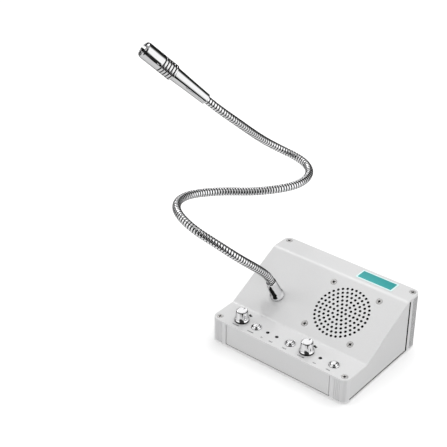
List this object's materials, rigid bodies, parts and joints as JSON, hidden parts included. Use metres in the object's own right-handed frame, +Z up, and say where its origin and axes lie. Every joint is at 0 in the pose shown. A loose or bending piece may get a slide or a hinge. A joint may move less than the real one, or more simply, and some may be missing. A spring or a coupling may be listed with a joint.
{
  "type": "paging microphone",
  "caption": "Silver wedge-shaped counter intercom station with round speaker holes, knobs, push buttons and a microphone on a long chromed gooseneck.",
  "frame": {"origin": "on the table under the middle of the housing", "axes": "+X to the right as seen by the user, -Y towards the user at the front, +Z up"},
  "size_m": [0.306, 0.212, 0.3174],
  "materials": {
    "silver_cover": "satin silver-grey coating",
    "silver_panel": "satin silver-grey coating",
    "post_metal": "satin anodised",
    "black_rubber": "matt",
    "bright_screw": "polished",
    "black_steel": "plain",
    "plain_steel": "zinc plated",
    "magnet": "plain",
    "speaker_paper": "matt paper",
    "black_gauze": "matt",
    "circuit_board": "solder mask",
    "chrome_knob": "polished",
    "chrome_button": "polished",
    "black_plastic": "moulded",
    "dark_lens": "gloss",
    "chrome_turned": "polished",
    "chrome_neck": "polished"
  },
  "bodies": {
    "housing": {"top_cover": "silver_cover", "front_panel": "silver_panel", "left_side_panel": "silver_panel", "right_side_panel": "silver_panel", "rear_panel": "silver_panel", "front_left_post": "post_metal", "front_right_post": "post_metal", "rear_left_post": "post_metal", "rear_right_post": "post_metal", "base_plate": "silver_panel", "rubber_feet": "black_rubber", "cover_screws": "bright_screw", "base_screws": "black_steel", "speaker_frame": "plain_steel", "speaker_magnet": "magnet", "speaker_cone": "speaker_paper", "speaker_gauze": "black_gauze", "speaker_screws": "bright_screw", "speaker_nuts": "plain_steel", "main_board": "circuit_board", "board_pillars": "plain_steel", "board_screws": "plain_steel", "control_board": "circuit_board", "control_pillars": "plain_steel", "left_potentiometer": "plain_steel", "right_potentiometer": "plain_steel", "switch_bodies": "black_plastic", "button_rings": "chrome_button", "indicator_lenses": "dark_lens", "neck_socket": "chrome_turned", "neck_nut": "plain_steel", "neck_tube_1": "chrome_neck", "neck_flex_1": "chrome_neck", "power_socket": "black_plastic", "second_station_socket": "black_plastic", "record_socket": "black_plastic"},
    "left_knob_and_shaft": {"left_knob": "chrome_knob", "left_pot_shaft": "plain_steel"},
    "right_knob_and_shaft": {"right_knob": "chrome_knob", "right_pot_shaft": "plain_steel"},
    "left_push_button": {"left_button": "chrome_button"},
    "middle_push_button": {"middle_button": "chrome_button"},
    "right_push_button": {"right_button": "chrome_button"},
    "neck_part_2": {"neck_tube_2": "chrome_neck", "neck_flex_2": "chrome_neck"},
    "neck_part_3": {"neck_tube_3": "chrome_neck", "neck_flex_3": "chrome_neck"},
    "neck_part_4": {"neck_tube_4": "chrome_neck", "neck_flex_4": "chrome_neck"},
    "neck_part_5": {"neck_tube_5": "chrome_neck", "neck_flex_5": "chrome_neck"},
    "neck_part_6": {"neck_tube_6": "chrome_neck", "neck_flex_6": "chrome_neck"},
    "microphone": {"neck_tube_7": "chrome_neck", "mic_stem": "chrome_turned", "mic_sleeve": "chrome_turned", "mic_head": "chrome_turned", "mic_capsule": "black_rubber"}
  },
  "joints": [
    {"name": "left_knob_turn", "type": "hinge", "parent": "housing", "child": "left_knob_and_shaft", "pos_m": [-0.0603, -0.054, 0.0375], "axis": [0, 0, -1], "range_deg": [-150, 150]},
    {"name": "right_knob_turn", "type": "hinge", "parent": "housing", "child": "right_knob_and_shaft", "pos_m": [0.0288, -0.054, 0.0375], "axis": [0, 0, -1], "range_deg": [-150, 150]},
    {"name": "left_button_press", "type": "slide", "parent": "housing", "child": "left_push_button", "axis": [0, 0, -1], "range_m": [0, 0.0012], "stiffness_N_per_m": 900, "springref_m": -0.0004},
    {"name": "middle_button_press", "type": "slide", "parent": "housing", "child": "middle_push_button", "axis": [0, 0, -1], "range_m": [0, 0.0012], "stiffness_N_per_m": 900, "springref_m": -0.0004},
    {"name": "right_button_press", "type": "slide", "parent": "housing", "child": "right_push_button", "axis": [0, 0, -1], "range_m": [0, 0.0012], "stiffness_N_per_m": 900, "springref_m": -0.0004},
    {"name": "neck_bend_1", "type": "hinge", "parent": "housing", "child": "neck_part_2", "pos_m": [-0.05443, -0.04775, 0.10391], "axis": [-0.9327, 0.3606, 0], "range_deg": [-25, 25], "deforming": ["neck_flex_1"]},
    {"name": "neck_bend_2", "type": "hinge", "parent": "neck_part_2", "child": "neck_part_3", "pos_m": [-0.11419, -0.08363, 0.15079], "axis": [0.2506, -0.0398, 0.9673], "range_deg": [-25, 25], "deforming": ["neck_flex_2"]},
    {"name": "neck_bend_3", "type": "hinge", "parent": "neck_part_3", "child": "neck_part_4", "pos_m": [-0.14313, -0.00985, 0.14608], "axis": [0.8698, -0.4934, 0], "range_deg": [-25, 25], "deforming": ["neck_flex_3"]},
    {"name": "neck_bend_4", "type": "hinge", "parent": "neck_part_4", "child": "neck_part_5", "pos_m": [-0.08943, 0.06133, 0.14111], "axis": [0.008, 0.0174, 0.9998], "range_deg": [-25, 25], "deforming": ["neck_flex_4"]},
    {"name": "neck_bend_5", "type": "hinge", "parent": "neck_part_5", "child": "neck_part_6", "pos_m": [-0.1308, 0.11217, 0.15465], "axis": [-0.6041, 0.7969, 0], "range_deg": [-25, 25], "deforming": ["neck_flex_5"]},
    {"name": "neck_bend_6", "type": "hinge", "parent": "neck_part_6", "child": "microphone", "pos_m": [-0.14874, 0.04635, 0.20982], "axis": [0.0804, 0.6542, 0.7521], "range_deg": [-25, 25], "deforming": ["neck_flex_6"]}
  ]
}
